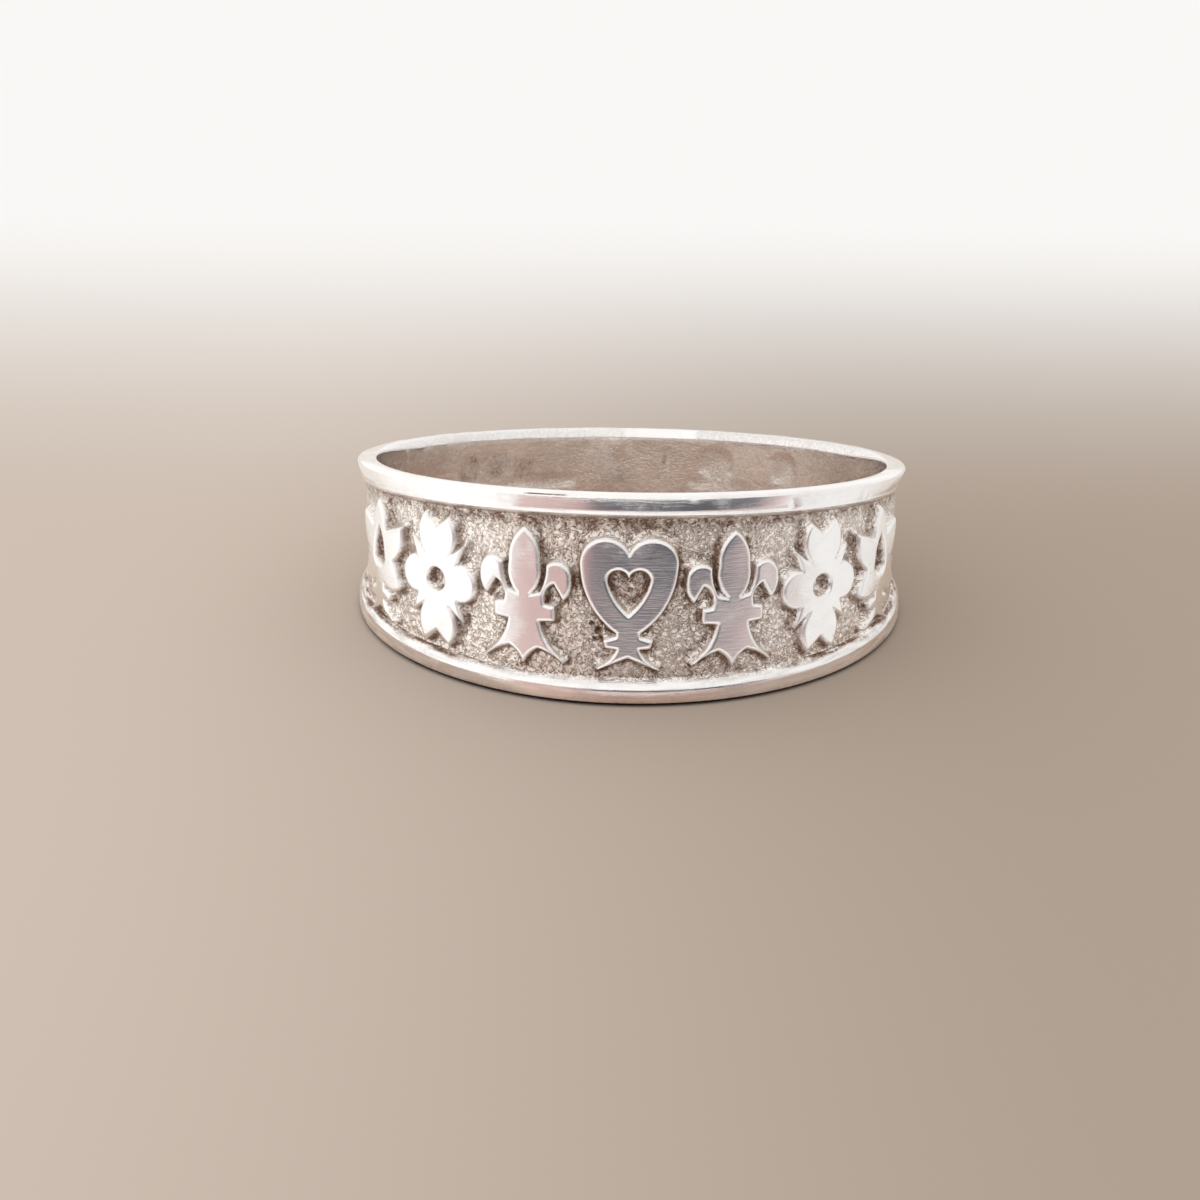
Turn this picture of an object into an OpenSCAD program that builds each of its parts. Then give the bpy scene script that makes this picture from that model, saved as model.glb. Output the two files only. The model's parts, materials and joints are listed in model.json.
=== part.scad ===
// Cast silver keepsake ring, one piece: a band that is wide in front and narrow behind,
// with a rounded rim along each edge and raised ornaments on the sunk ground between them.
// The ring's own frame has its axis along Z and its front towards -Y. The finished ring
// lies on its side, on the flat lower face of the band, so its axis leans back a little.

/* [Band] */
// Diameter of the finger hole
bore_d = 18.6; // [14:0.1:23]
// Thickness of the silver from the finger hole to the top of the rims
wall_t = 0.7; // [0.6:0.05:1.2]
// Height of the band in front
front_w = 7.25; // [6:0.05:9]
// Height of the band at the back
back_w = 3.45; // [3:0.05:6]
// Bevel where the finger hole meets the flat faces
mouth_bevel = 0.14; // [0.1:0.01:0.2]

/* [Rims] */
// Height of each rim
rim_w = 0.85; // [0.75:0.01:0.86]
// Radius of the rim's rounded outer side
rim_round_r = 0.55; // [0.55:0.01:0.65]
// How far the rim's outermost line lies from the flat face
rim_crest = 0.35; // [0.34:0.01:0.4]

/* [Ornaments] */
// Depth of the sunk ground below the rims
ground_drop = 0.35; // [0.2:0.01:0.4]
// Angle from one ornament to the next
motif_pitch = 20.5; // [19:0.5:24]
// Share of that angle that the front ornament fills
motif_fill = 0.9; // [0.6:0.01:0.92]
// Space between the front ornament's tips and the rims
front_gap = 0.45; // [0.3:0.01:0.6]
// Space between the outermost ornaments' tips and the rims
end_gap = 0.18; // [0.12:0.01:0.3]
// Diameter of the round hole in the quatrefoils
eye_d = 0.84; // [0.5:0.02:1]

/* [Hidden] */
$fn = 128;

bore_r = bore_d / 2;
outer_r = bore_r + wall_t;
ground_r = outer_r - ground_drop;
// The ornaments' faces are polished down just below the rims
face_r = outer_r - 0.02;
mid_h = (front_w + back_w) / 4;
swing_h = (front_w - back_w) / 4;
// Angle between the band's flat faces and its middle plane
lean = atan(swing_h / outer_r);
// The band's outermost lines in front and behind as it lies, from which it is centred
front_y = -mid_h * sin(lean) - outer_r;
back_y = mid_h * sin(lean) - rim_crest * sin(2 * lean)
    + (outer_r - rim_round_r) * cos(2 * lean) + rim_round_r;
motif_w = motif_fill * motif_pitch * PI / 180 * outer_r;
// The ornaments from the left end of the row to the right
FRIEZE = ["ivy", "quatrefoil", "fleur", "heart", "fleur", "quatrefoil", "ivy"];
end_angle = motif_pitch * (len(FRIEZE) - 1) / 2;
// Largest turn of one straight step along an arc
arc_step = 12;
// Length by which a cutting or joining shape runs past the surface that it crosses
past = 1;

// Height of the flat face over the middle plane at an angle from the front
function face_h(angle) = mid_h + swing_h * cos(angle);

// Space over and under an ornament at an angle from the front
function motif_gap(angle) =
    front_gap + (end_gap - front_gap) * (1 - cos(angle)) / (1 - cos(end_angle));

// Half the height of an ornament at an angle from the front
function motif_half_h(angle) = face_h(angle) - rim_w - motif_gap(angle);

// Points of the arc from a to b, without b itself. bow is the arc's rise as a share of
// its chord, positive to the left of the way from a to b.
function arc_points(a, b, bow) =
    abs(bow) < 0.01 ? [a] :
    let (
        half = 2 * atan(2 * bow),
        r = 0.5 / sin(half),
        steps = ceil(abs(half) / arc_step * 2),
        along = b - a,
        aside = [-along.y, along.x]
    )
    [for (i = [0 : steps - 1])
        let (turn = half * (2 * i / steps - 1))
        a + along * (0.5 + r * sin(turn)) + aside * (r * (cos(turn) - cos(half)))];

// Each ornament is the same left and right, so its table runs down the right side only.
// Columns: across, as a share of the half width; up, as a share of the half height; bow
// of the arc to the next corner.
HEART = [
    [0.00, 0.68, 0.44], [1.00, 0.50, 0.12], [0.24, -0.46, 0], [0.24, -0.52, 0],
    [0.50, -0.58, 0], [0.46, -0.68, 0], [0.22, -0.70, -0.10], [0.62, -1.00, 0],
    [0.00, -0.82, 0]
];
HEART_EYE = [[0.00, 0.36, 0.42], [0.46, 0.30, 0.08], [0.00, -0.20, 0]];
FLEUR = [
    [0.00, 1.00, 0.14], [0.33, 0.50, 0.14], [0.13, 0.02, 0], [0.36, 0.06, -0.06],
    [0.50, 0.46, 0.36], [1.00, 0.30, 0.12], [0.86, -0.02, 0], [0.66, 0.22, -0.22],
    [0.46, -0.12, 0], [0.66, -0.14, 0], [0.66, -0.34, 0], [0.34, -0.36, -0.10],
    [0.88, -0.96, -0.06], [0.32, -0.76, -0.10], [0.00, -1.00, 0]
];
QUATREFOIL = [
    [0.00, 0.80, 0], [0.36, 1.00, 0.20], [0.36, 0.40, 0], [0.74, 0.58, 0],
    [0.58, 0.28, 0.62], [0.58, -0.28, 0], [0.74, -0.58, 0], [0.36, -0.40, 0.20],
    [0.36, -1.00, 0], [0.00, -0.80, 0]
];
IVY = [
    [0.00, 1.00, 0.08], [0.34, 0.50, 0], [1.00, 0.66, 0.16], [0.64, 0.04, 0],
    [0.92, -0.38, 0.16], [0.24, -0.40, 0], [0.22, -0.52, 0], [0.50, -0.58, 0],
    [0.46, -0.68, 0], [0.22, -0.70, -0.10], [0.62, -1.00, 0], [0.00, -0.82, 0]
];
IVY_EYE = [[0.00, 0.56, 0.10], [0.26, 0.10, 0.34], [0.00, -0.12, 0]];

// Flat shape of a table at half width w and half height h
module outline(table, w, h) {
    corners = [for (row = table) [row[0] * w, row[1] * h]];
    last = len(corners) - 1;
    side = [
        for (i = [0 : last - 1]) each arc_points(corners[i], corners[i + 1], table[i][2]),
        corners[last]
    ];
    polygon(concat(side, [for (i = [len(side) - 2 : -1 : 1]) [-side[i].x, side[i].y]]));
}

module heart(w, h) {
    difference() {
        outline(HEART, w, h);
        outline(HEART_EYE, w, h);
    }
}

module fleur(w, h) {
    outline(FLEUR, w, h);
}

module quatrefoil(w, h) {
    difference() {
        outline(QUATREFOIL, w, h);
        circle(d = eye_d);
    }
}

module ivy_leaf(w, h) {
    difference() {
        outline(IVY, w, h);
        outline(IVY_EYE, w, h);
    }
}

module motif(name, w, h) {
    if (name == "heart") heart(w, h);
    if (name == "fleur") fleur(w, h);
    if (name == "quatrefoil") quatrefoil(w, h);
    if (name == "ivy") ivy_leaf(w, h);
}

// The row of ornaments round the front, each raised square to the band where it stands
module frieze() {
    intersection() {
        for (i = [0 : len(FRIEZE) - 1]) {
            angle = i * motif_pitch - end_angle;
            rotate([90, 0, angle])
                linear_extrude(height = outer_r + past)
                    motif(FRIEZE[i], motif_w / 2, motif_half_h(angle));
        }
        difference() {
            cylinder(r = face_r, h = front_w, center = true);
            cylinder(r = bore_r - past, h = front_w + past, center = true);
        }
    }
}

// The body of the band out to the sunk ground, ending inside the rims
module band_wall() {
    reach = outer_r + past;
    half_front = mid_h + swing_h * reach / outer_r - rim_w / 2;
    half_back = mid_h - swing_h * reach / outer_r - rim_w / 2;
    intersection() {
        cylinder(r = ground_r, h = front_w, center = true);
        rotate([90, 0, 90])
            linear_extrude(height = 2 * reach, center = true)
                polygon([
                    [-reach, -half_front], [reach, -half_back],
                    [reach, half_back], [-reach, half_front]
                ]);
    }
}

// Places its children on the band's upper flat face
module on_face() {
    translate([0, 0, mid_h]) rotate([-lean, 0, 0]) children();
}

// One rim, with its flat face up and its outer side rounded
module rim() {
    rotate_extrude()
        intersection() {
            union() {
                translate([outer_r - rim_round_r, -rim_crest]) circle(r = rim_round_r);
                translate([bore_r - past / 2, -rim_w])
                    square([wall_t + past / 2 - rim_round_r, rim_w]);
            }
            translate([bore_r - past / 2, -rim_w]) square([wall_t + past, rim_w]);
        }
}

// The finger hole, bevelled where it meets the flat faces
module finger_hole() {
    cylinder(r = bore_r, h = front_w + 2 * past, center = true);
    for (side = [0, 1]) mirror([0, 0, side]) on_face()
        translate([0, 0, -2 * mouth_bevel])
            cylinder(
                h = 2 * mouth_bevel + past,
                r1 = bore_r - mouth_bevel,
                r2 = bore_r + mouth_bevel + past
            );
}

// The whole ring, lying on its lower face with its middle over the origin
module ring() {
    color("silver")
        translate([0, -(front_y + back_y) / 2, mid_h * cos(lean)])
            rotate([-lean, 0, 0])
                difference() {
                    union() {
                        band_wall();
                        for (side = [0, 1]) mirror([0, 0, side]) on_face() rim();
                        frieze();
                    }
                    finger_hole();
                }
}

ring();
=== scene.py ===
"""A cast silver keepsake ring: a band that widens to the front, with rounded rims and a
row of raised ornaments on a stippled ground, lying on its side on a pale table."""

import json
import math

import bpy
import numpy as np
from bpy.props import FloatProperty, FloatVectorProperty, IntProperty, PointerProperty
from bpy.types import Operator, Panel, PropertyGroup
from mathutils import Matrix, Vector, noise
from mathutils.geometry import delaunay_2d_cdt


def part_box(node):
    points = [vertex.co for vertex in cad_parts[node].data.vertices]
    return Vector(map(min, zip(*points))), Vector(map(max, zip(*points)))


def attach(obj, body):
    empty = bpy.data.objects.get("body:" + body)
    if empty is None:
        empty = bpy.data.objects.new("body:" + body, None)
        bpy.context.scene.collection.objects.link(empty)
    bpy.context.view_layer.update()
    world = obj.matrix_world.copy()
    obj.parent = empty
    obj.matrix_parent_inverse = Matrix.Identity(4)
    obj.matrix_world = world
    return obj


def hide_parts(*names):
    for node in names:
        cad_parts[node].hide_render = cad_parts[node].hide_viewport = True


bl_info = {
    "name": "Keepsake Ring",
    "version": (1, 0, 0),
    "blender": (4, 5, 0),
    "location": "View3D > Sidebar > Keepsake Ring",
    "description": "Makes a graduated silver ring with raised ornaments, and its stage",
    "category": "Object",
}

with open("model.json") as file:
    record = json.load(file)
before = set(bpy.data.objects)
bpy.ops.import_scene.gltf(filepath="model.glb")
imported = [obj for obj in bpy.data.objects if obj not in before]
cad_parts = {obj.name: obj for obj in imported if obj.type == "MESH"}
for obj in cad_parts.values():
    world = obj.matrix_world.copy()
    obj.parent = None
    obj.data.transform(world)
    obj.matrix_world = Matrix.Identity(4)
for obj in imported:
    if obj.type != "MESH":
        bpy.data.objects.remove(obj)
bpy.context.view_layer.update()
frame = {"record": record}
MM = 0.001

# The band's own frame has its axis up and its front towards -Y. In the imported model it
# leans back, so that the lower flat face lies on the table.
BOX_LOW, BOX_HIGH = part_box("ring")
HOLE = next(m for m in frame["record"]["mounts"] if m["name"] == "finger_hole")
BORE_RADIUS = HOLE["dims"]["r_mm"] * MM
OUTER_RADIUS = (BOX_HIGH.x - BOX_LOW.x) / 2
LEAN = math.atan2(HOLE["axis"][1], HOLE["axis"][2])
HOLE_MIDDLE = Vector(HOLE["pos_m"])
MIDDLE_HALF_HEIGHT = HOLE_MIDDLE.z / math.cos(LEAN)
SWING = OUTER_RADIUS * math.tan(LEAN)

# Each ornament is the same left and right, so its table runs down the right side only.
# Columns: across, as a share of the half width; up, as a share of the half height; bow
# of the arc to the next corner, as a share of its chord.
HEART = (
    (0.00, 0.68, 0.44), (1.00, 0.50, 0.12), (0.24, -0.46, 0), (0.24, -0.52, 0),
    (0.50, -0.58, 0), (0.46, -0.68, 0), (0.22, -0.70, -0.10), (0.62, -1.00, 0),
    (0.00, -0.82, 0),
)
HEART_EYE = ((0.00, 0.36, 0.42), (0.46, 0.30, 0.08), (0.00, -0.20, 0))
FLEUR = (
    (0.00, 1.00, 0.14), (0.33, 0.50, 0.14), (0.13, 0.02, 0), (0.36, 0.06, -0.06),
    (0.50, 0.46, 0.36), (1.00, 0.30, 0.12), (0.86, -0.02, 0), (0.66, 0.22, -0.22),
    (0.46, -0.12, 0), (0.66, -0.14, 0), (0.66, -0.34, 0), (0.34, -0.36, -0.10),
    (0.88, -0.96, -0.06), (0.32, -0.76, -0.10), (0.00, -1.00, 0),
)
QUATREFOIL = (
    (0.00, 0.80, 0), (0.36, 1.00, 0.20), (0.36, 0.40, 0), (0.74, 0.58, 0),
    (0.58, 0.28, 0.62), (0.58, -0.28, 0), (0.74, -0.58, 0), (0.36, -0.40, 0.20),
    (0.36, -1.00, 0), (0.00, -0.80, 0),
)
IVY = (
    (0.00, 1.00, 0.08), (0.34, 0.50, 0), (1.00, 0.66, 0.16), (0.64, 0.04, 0),
    (0.92, -0.38, 0.16), (0.24, -0.40, 0), (0.22, -0.52, 0), (0.50, -0.58, 0),
    (0.46, -0.68, 0), (0.22, -0.70, -0.10), (0.62, -1.00, 0), (0.00, -0.82, 0),
)
IVY_EYE = ((0.00, 0.56, 0.10), (0.26, 0.10, 0.34), (0.00, -0.12, 0))

# The ornaments from the left end of the row to the right
FRIEZE = ("ivy", "quatrefoil", "fleur", "heart", "fleur", "quatrefoil", "ivy")

# The rims' sections, from the edge of the ground over the outside to the flat face.
# Columns in millimetres: distance from the flat face, depth inside the outermost line.
UPPER_OUTSIDE = (
    (0.85, 0.335), (0.83, 0.30), (0.80, 0.24), (0.76, 0.165), (0.72, 0.10), (0.68, 0.056),
    (0.64, 0.035), (0.59, 0.020), (0.54, 0.008), (0.50, 0.002), (0.42, 0.00), (0.28, 0.00),
    (0.14, 0.002), (0.10, 0.006), (0.07, 0.016), (0.04, 0.036), (0.015, 0.064), (0.00, 0.10),
)
LOWER_OUTSIDE = (
    (0.90, 0.335), (0.88, 0.296), (0.85, 0.246), (0.81, 0.187), (0.76, 0.125), (0.71, 0.077),
    (0.66, 0.044), (0.62, 0.0263), (0.59, 0.0158), (0.565, 0.0113), (0.53, 0.0092),
    (0.47, 0.0059), (0.40, 0.0028), (0.33, 0.0008), (0.27, 0.00), (0.150, 0.00), (0.125, 0.006),
    (0.098, 0.020), (0.068, 0.047), (0.041, 0.086), (0.017, 0.14), (0.00, 0.20),
)
# Where the flat face turns into the finger hole, from the flat face inwards, as shares of
# the edge's rounding. Columns: drop below the flat face; distance out from the hole.
RIM_INSIDE = ((0, 1.6), (0, 1), (0.06, 0.6), (0.26, 0.26), (0.6, 0.06), (1, 0))
# Rounding of that inner edge in front and at the sides, and where it is worn at the back
FRONT_ROUNDING = 0.08 * MM
BACK_ROUNDING = 0.36 * MM
# How far the upper rim's outer side leans in at the left and at the right, as shares of
# the drop
LEFT_LEAN, RIGHT_LEAN = 0.30, 0.50
# Nicks in the upper rim. Columns: degrees from the front; drop below the flat face,
# half width and depth in millimetres.
NICKS = (
    (-22.4, 0.16, 0.05, 0.015), (-28.0, 0.20, 0.03, 0.030), (32.8, 0.45, 0.12, 0.06),
    (53.1, 0.42, 0.12, 0.05), (55.5, 0.52, 0.08, 0.05), (-47.0, 0.20, 0.08, 0.03),
    (118.0, 0.25, 0.12, 0.04), (-140.0, 0.30, 0.10, 0.04), (12.0, 0.10, 0.05, 0.02),
)
# From where to where a dark ragged scrape runs along the upper rim's edge, in radians
# from the front
SCRAPE = (-0.36, -0.19)
# From where to where the back of the upper rim is left clear of the dull film, and so shows
# brighter, in radians from the front
CLEAR_BACK_SPAN = (2.85, 3.18)

# Lumps and, below 0, pits left by the casting. Columns: degrees from the front; height
# over the middle plane, half width and rise in millimetres.
LUMPS = (
    (42.8, -1.97, 0.20, 0.20), (-47.5, 1.95, 0.12, 0.12),
    (-5.9, -1.04, 0.09, -0.10), (-7.0, -0.84, 0.06, -0.08), (-5.0, -0.78, 0.05, -0.07),
    (-6.6, -1.36, 0.05, -0.06), (-5.2, -1.30, 0.06, -0.07),
)

# Worn dents inside the back. Columns: degrees from the front; height over the middle
# plane, half width, half height and depth in millimetres; turn in degrees; tarnish left
# in the dent.
DENTS = (
    (223.5, 0.50, 0.46, 0.60, 0.060, 8, 0.42), (214.6, 0.56, 0.50, 0.56, 0.050, -6, 0.36),
    (208.0, 0.34, 0.60, 0.45, 0.045, 4, 0.28), (158.0, 0.52, 0.76, 0.64, 0.105, 5, 0.05),
    (139.5, 0.72, 0.62, 0.58, 0.100, -10, 0.05), (171.5, 0.50, 0.10, 0.40, 0.040, 3, 0.25),
    (184.5, 0.45, 0.75, 0.95, 0.000, 0, 0.14),
    (204.5, -0.26, 1.70, 0.22, 0.070, 1, 0.00), (159.0, -0.28, 1.05, 0.22, 0.070, -2, 0.00),
)

# How the silver falls from an ornament's face to the ground. Columns in millimetres:
# distance from the outline, positive on the face; share of the relief.
WALL = (
    (-0.14, 0.0), (-0.105, 0.05), (-0.07, 0.20), (-0.035, 0.52), (0.0, 0.88), (0.035, 0.955),
    (0.085, 1.0),
)
# How much further the walls that face up run out than the others
UPPER_SLANT = 1.3

# Spacing of the mesh's points: along the outlines, beside the rims, on the ground in front
# and behind, and on the ornaments' faces. The fine ground ends at GRAIN_TURN from the front.
EDGE_STEP = 0.07 * MM
BORDER_STEP = 0.03 * MM
FRONT_GRAIN = 0.066 * MM
BACK_GRAIN = 0.095 * MM
FACE_GRAIN = 0.22 * MM
GRAIN_TURN = math.radians(97)

# Tarnish in the ground's recesses, with painted shade: at the foot of the ornaments, where it is
# tarnish and a painted shadow below and beside them; under the upper rim, where it is tarnish
# and painted shade; over the lower rim; in the stippling's pits; in the ornaments' eyes, as
# tarnish and painted shade; and a little darkening all over the front. The reaches are how far
# it runs out from each rim.
FOOT_FILM_AND_SHADOW, UPPER_RIM_FILM_AND_SHADE, LOWER_RIM_FILM = 0.9, 0.85, 0.50
PIT_FILM, EYE_FILM_AND_SHADE, FRONT_DARKENING = 0.15, 0.25, 0.06
UPPER_RIM_REACH, LOWER_RIM_REACH = 0.60 * MM, 0.26 * MM

# Numbers on each vertex, which the material reads by name. The tarnish numbers also carry the
# painted shade and the painted contact shadow.
VERTEX_VALUES = ("polish", "tarnish", "worn")
# Noise scale for one wave in a millimetre
PER_MM = 1 / MM
# Colours of silver under a thin dull film, and the black of the painted contact shadow where the
# ring rests, which also fills the casting's pits
DULL_SILVER = (0.80, 0.75, 0.72)
CONTACT_SHADOW_AND_PIT_BLACK = (0.02, 0.011, 0.008)
# Darkness of the matt silver in its creases and in its fine hollows
CREASE_FILM, HOLLOW_FILM = 0.66, 0.10
# Roughness of polished, matt and worn silver, and what scratches and smears add to it
POLISHED_ROUGH, MATT_ROUGH, WORN_ROUGH = 0.05, 0.26, 0.42
SCRATCH_ROUGH, SMEAR_ROUGH = 0.13, 0.22
# Fine scratches. Columns: turn in radians; waves in a millimetre across them; share of
# that along them.
SCRATCHES = ((0.05, 15.0, 0.05), (1.1, 11.0, 0.10), (-0.5, 9.0, 0.12))

# A glowing card behind the camera, seen only in the polished silver, paints the reflection of
# what stands there: degrees from the front, to the right, and the colour there
REFLECTED = (
    (-46, (0.86, 0.75, 0.73)), (-41, (0.74, 0.56, 0.54)), (-24, (0.67, 0.475, 0.455)),
    (-19, (0.58, 0.41, 0.40)), (-14, (0.26, 0.23, 0.24)), (-5, (0.17, 0.165, 0.18)),
    (8, (0.13, 0.13, 0.145)), (34, (0.13, 0.135, 0.15)), (50, (0.24, 0.23, 0.25)),
    (58, (0.66, 0.52, 0.51)), (70, (0.88, 0.84, 0.82)),
)
# The table near the ring as the silver mirrors it, its colours painted with the light and
# shade that fall there: millimetres to the right of its middle
MIRRORED_TABLE_LIGHT_AND_SHADE = (
    (-12, (0.72, 0.62, 0.54)), (-8, (0.97, 0.84, 0.74)), (-5, (0.86, 0.72, 0.62)),
    (-3, (0.58, 0.43, 0.345)), (-1.5, (0.46, 0.33, 0.26)), (3, (0.46, 0.325, 0.255)),
    (8, (0.76, 0.62, 0.52)), (12, (0.54, 0.44, 0.365)),
)
# Colours, with painted light and shade, of the mirrored table in front of the ring, at the
# left there, and beside the ring's front
TABLE_IN_FRONT, TABLE_FRONT_LEFT = (0.54, 0.385, 0.315), (0.88, 0.67, 0.57)
TABLE_BESIDE = (0.58, 0.475, 0.405)
# Colours of the glowing card behind the camera where its dark part ends below, and at its foot
CARD_GREY, CARD_PINK = (0.50, 0.455, 0.465), (0.72, 0.51, 0.47)


class KeepsakeRingBand(PropertyGroup):
    """Sizes of the band and its rims."""
    outer_radius: FloatProperty(
        name="Outer Radius", description="From the band's axis to the top of the rims",
        default=OUTER_RADIUS, min=7 * MM, max=13 * MM, subtype="DISTANCE", unit="LENGTH")
    bore_radius: FloatProperty(
        name="Hole Radius", description="Radius of the finger hole",
        default=BORE_RADIUS, min=6 * MM, max=12 * MM, subtype="DISTANCE", unit="LENGTH")
    middle_half_height: FloatProperty(
        name="Half Height at the Sides", description="Half the band's height at its sides",
        default=MIDDLE_HALF_HEIGHT, min=2 * MM, max=5 * MM, subtype="DISTANCE", unit="LENGTH")
    swing: FloatProperty(
        name="Swing", description="Half height that the front gains and the back loses",
        default=SWING, min=0, max=1.5 * MM, subtype="DISTANCE", unit="LENGTH")
    ground_drop: FloatProperty(
        name="Ground Depth", description="Depth of the sunk ground below the rims",
        default=0.35 * MM, min=0.1 * MM, max=0.5 * MM, subtype="DISTANCE", unit="LENGTH")
    stations: IntProperty(
        name="Stations", description="Steps in which the rims are drawn round the band",
        default=540, min=90, max=720)


class KeepsakeRingFrieze(PropertyGroup):
    """Sizes of the raised ornaments."""
    pitch: FloatProperty(
        name="Pitch", description="Angle from one ornament to the next",
        default=math.radians(20.5), subtype="ANGLE", unit="ROTATION")
    fill: FloatProperty(
        name="Fill", description="Share of the pitch that an ornament fills",
        default=0.9, min=0.6, max=0.92, subtype="FACTOR")
    front_gap: FloatProperty(
        name="Front Gap", description="Space between the front ornament's tips and the rims",
        default=0.45 * MM, subtype="DISTANCE", unit="LENGTH")
    end_gap: FloatProperty(
        name="End Gap", description="Space between the outermost ornaments' tips and the rims",
        default=0.18 * MM, subtype="DISTANCE", unit="LENGTH")
    face_drop: FloatProperty(
        name="Face Drop", description="How far the polished faces lie below the rims",
        default=0.02 * MM, subtype="DISTANCE", unit="LENGTH")
    eye_radius: FloatProperty(
        name="Eye Radius", description="Radius of the round hole in a quatrefoil",
        default=0.42 * MM, subtype="DISTANCE", unit="LENGTH")
    stipple: FloatProperty(
        name="Stipple", description="Depth of the stippling of the ground",
        default=0.012 * MM, subtype="DISTANCE", unit="LENGTH")
    seed: IntProperty(name="Seed", description="Picks the stippling", default=7)


class KeepsakeRingSilver(PropertyGroup):
    """Colours of the silver."""
    bright: FloatVectorProperty(
        name="Bright Silver", description="Polished faces and rims",
        default=(0.95, 0.928, 0.91), size=3, min=0, max=1, subtype="COLOR")
    matt: FloatVectorProperty(
        name="Matt Silver", description="Stippled ground",
        default=(1.0, 0.905, 0.81), size=3, min=0, max=1, subtype="COLOR")
    tarnish: FloatVectorProperty(
        name="Tarnish", description="Dark brown film in the recesses",
        default=(0.24, 0.145, 0.10), size=3, min=0, max=1, subtype="COLOR")


class KeepsakeRingStage(PropertyGroup):
    """Camera, table and light."""
    camera_distance: FloatProperty(
        name="Camera Distance", description="From the camera to the table under the ring",
        default=82.479 * MM, subtype="DISTANCE", unit="LENGTH")
    camera_height: FloatProperty(
        name="Camera Elevation", description="Angle of the camera over the table",
        default=math.radians(21.408), subtype="ANGLE", unit="ROTATION")
    camera_pan: FloatProperty(
        name="Camera Pan", description="Turn of the camera away from the ring's middle",
        default=math.radians(-0.8035), subtype="ANGLE", unit="ROTATION")
    camera_tilt: FloatProperty(
        name="Camera Tilt", description="Further downward tilt of the camera",
        default=math.radians(0.1493), subtype="ANGLE", unit="ROTATION")
    camera_roll: FloatProperty(
        name="Camera Roll", description="Turn of the camera about its own line of sight",
        default=math.radians(0.7212), subtype="ANGLE", unit="ROTATION")
    lens: FloatProperty(
        name="Lens", description="Focal length in millimetres on a 36 mm frame",
        default=66.0, min=10, max=200)
    # The table's colours near the ring carry painted light and shade: lit lighter at the left,
    # shaded darker to the right
    table_lit_left: FloatVectorProperty(
        name="Table at the Left", description="The table left of the ring",
        default=(0.60, 0.51, 0.44), size=3, min=0, max=1, subtype="COLOR")
    table_shaded_right: FloatVectorProperty(
        name="Table at the Right", description="The table in front and to the right of the ring",
        default=(0.42, 0.34, 0.28), size=3, min=0, max=1, subtype="COLOR")
    table_far: FloatVectorProperty(
        name="Far Table", description="The table far behind the ring",
        default=(0.91, 0.90, 0.89), size=3, min=0, max=1, subtype="COLOR")
    sky: FloatProperty(
        name="Sky", description="Strength of the soft light from all round",
        default=1.05, min=0, max=4)


def smooth(low, high, value):
    """0 below low, 1 above high, with a soft rise between them."""
    t = np.clip((value - low) / (high - low), 0, 1)
    return t * t * (3 - 2 * t)


def arc_points(a, b, bow, step=math.radians(5)):
    """Points of the arc from a to b, without b. It bows to the left of the way."""
    if abs(bow) < 0.01:
        return [a]
    half = 2 * math.atan(2 * bow)
    radius = 0.5 / math.sin(half)
    steps = math.ceil(abs(half) / step * 2)
    along = b - a
    aside = np.array((-along[1], along[0]))
    turns = [half * (2 * i / steps - 1) for i in range(steps)]
    return [
        a + along * (0.5 + radius * math.sin(t)) + aside * radius * (math.cos(t) - math.cos(half))
        for t in turns
    ]


def table_loop(table, half_width, half_height):
    """The closed outline of an ornament's table, as an array of points."""
    corners = [np.array((x * half_width, y * half_height)) for x, y, _ in table]
    side = []
    for (_, _, bow), a, b in zip(table, corners, corners[1:]):
        side += arc_points(a, b, bow)
    side.append(corners[-1])
    mirrored = [np.array((-p[0], p[1])) for p in side[-2:0:-1]]
    return np.array(side + mirrored)


def ornament_loops(name, half_width, half_height, eye_radius):
    """Outline of an ornament and, where it has one, of the hole in it."""
    tables = {
        "heart": (HEART, HEART_EYE), "fleur": (FLEUR,),
        "quatrefoil": (QUATREFOIL,), "ivy": (IVY, IVY_EYE),
    }
    loops = [table_loop(t, half_width, half_height) for t in tables[name]]
    if name == "quatrefoil":
        turn = np.linspace(0, 2 * math.pi, 40, endpoint=False)
        loops.append(eye_radius * np.stack([np.cos(turn), np.sin(turn)], -1))
    return loops


def refined(loop, step):
    """The loop with points added, so that none lies further than step from the next."""
    out = []
    for a, b in zip(loop, np.roll(loop, -1, 0)):
        parts = max(1, math.ceil(np.linalg.norm(b - a) / step))
        out += [a + (b - a) * i / parts for i in range(parts)]
    return np.array(out)


def inside(points, loop):
    """Which points lie inside a closed loop."""
    x, y = points[:, :1], points[:, 1:]
    x1, y1 = loop.T
    x2, y2 = np.roll(loop, -1, 0).T
    level = np.where(y2 == y1, 1, y2 - y1)
    crossed = ((y1 > y) != (y2 > y)) & (x < (x2 - x1) * (y - y1) / level + x1)
    return crossed.sum(1) % 2 == 1


def loop_distance(points, loop):
    """Distance from each point to a closed loop."""
    a = loop
    along = np.roll(loop, -1, 0) - a
    reach = points[:, None] - a[None]
    share = np.clip((reach * along).sum(2) / (along * along).sum(1), 0, 1)
    return np.linalg.norm(reach - share[..., None] * along, axis=2).min(1)


def signed_distance(points, loops):
    """Distance to an ornament's edge, above 0 on its face and below 0 on the ground."""
    far = 3 * MM
    low, high = loops[0].min(0) - far / 3, loops[0].max(0) + far / 3
    near = np.flatnonzero(((points > low) & (points < high)).all(1))
    out = np.full(len(points), -far)
    if len(near) == 0:
        return out
    here = points[near]
    distance = np.min([loop_distance(here, loop) for loop in loops], axis=0)
    on_face = inside(here, loops[0])
    for eye in loops[1:]:
        on_face &= ~inside(here, eye)
    out[near] = np.where(on_face, distance, -distance)
    return out


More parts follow.
